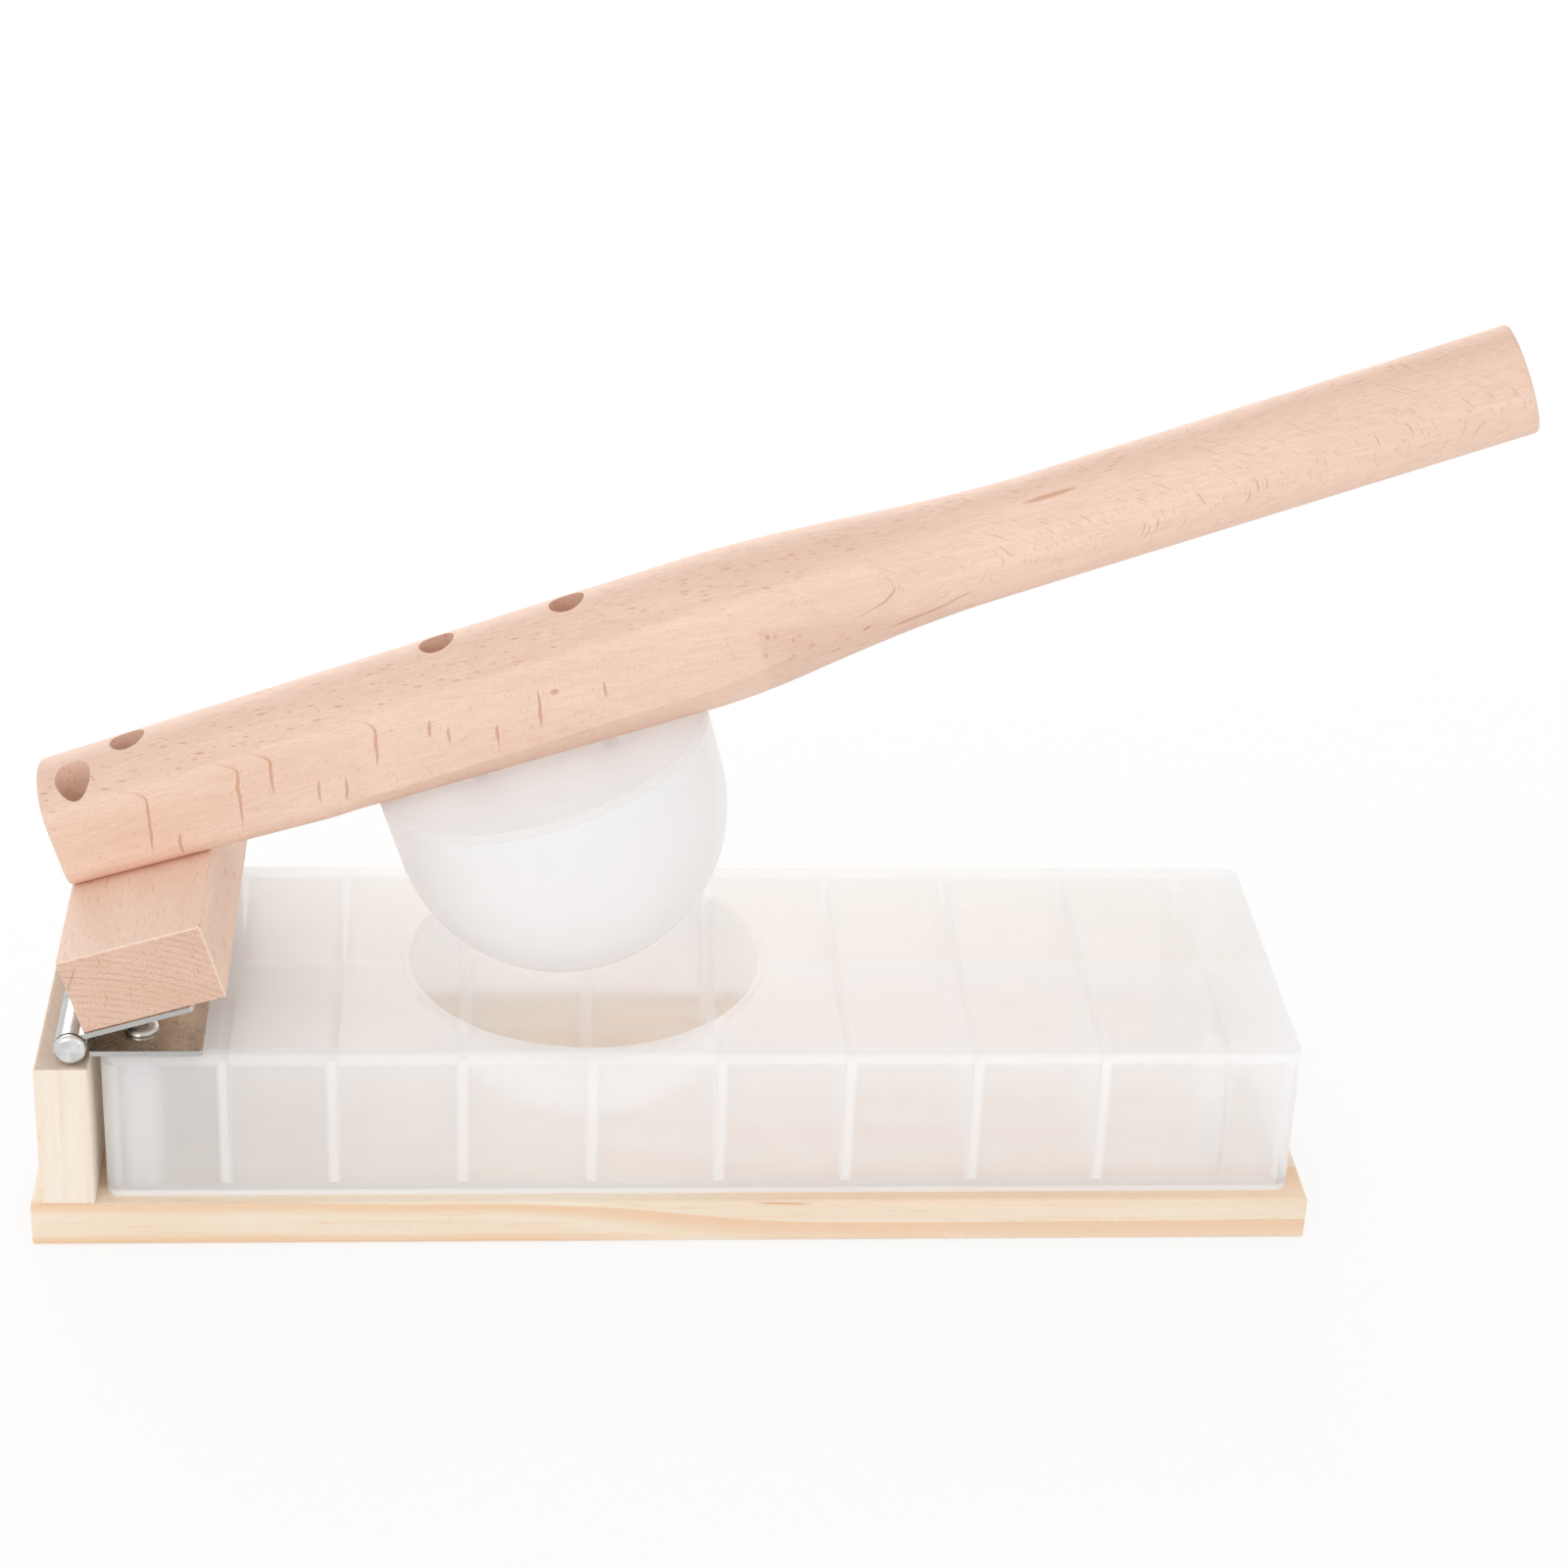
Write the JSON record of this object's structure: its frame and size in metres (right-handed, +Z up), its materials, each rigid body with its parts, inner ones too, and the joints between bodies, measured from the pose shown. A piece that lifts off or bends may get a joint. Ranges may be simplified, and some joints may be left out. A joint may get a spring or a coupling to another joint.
{
  "type": "lever dough press",
  "caption": "Lever press: a wooden lever hinged at one end of a ribbed plastic mould box swings a hollow plastic dome down into the box's round hollow, forming dough into a bowl shape.",
  "frame": {"origin": "middle of the base board's underside, on the surface that the press stands on", "axes": "+X along the base board from the hinge post towards the grip, +Y from the front edge to the rear edge, +Z up"},
  "size_m": [0.3994, 0.114, 0.2478],
  "materials": {
    "pine": "planed, unfinished",
    "beech": "sanded, unfinished",
    "milky_plastic": "milky, slightly see-through",
    "hinge_steel": "rolled, bright plated",
    "screw_steel": "zinc plated"
  },
  "bodies": {
    "base": {"base_board": "pine", "hinge_post": "pine", "post_screws": "screw_steel", "mould_box": "milky_plastic", "left_box_screws": "screw_steel", "right_box_screws": "screw_steel", "lower_hinge_leaf": "hinge_steel", "lower_leaf_screws": "screw_steel", "hinge_pin": "hinge_steel"},
    "lever": {"upper_hinge_leaf": "hinge_steel", "upper_leaf_screws": "screw_steel", "cross_block": "beech", "handle": "beech", "block_screws": "screw_steel", "dome_screws": "screw_steel", "dome_cover": "milky_plastic", "press_dome": "milky_plastic"}
  },
  "joints": [
    {"name": "lever_hinge", "type": "hinge", "parent": "base", "child": "lever", "pos_m": [-0.1622, 0, 0.0608], "axis": [0, -1, 0], "range_deg": [-16.5, 118.5]}
  ]
}
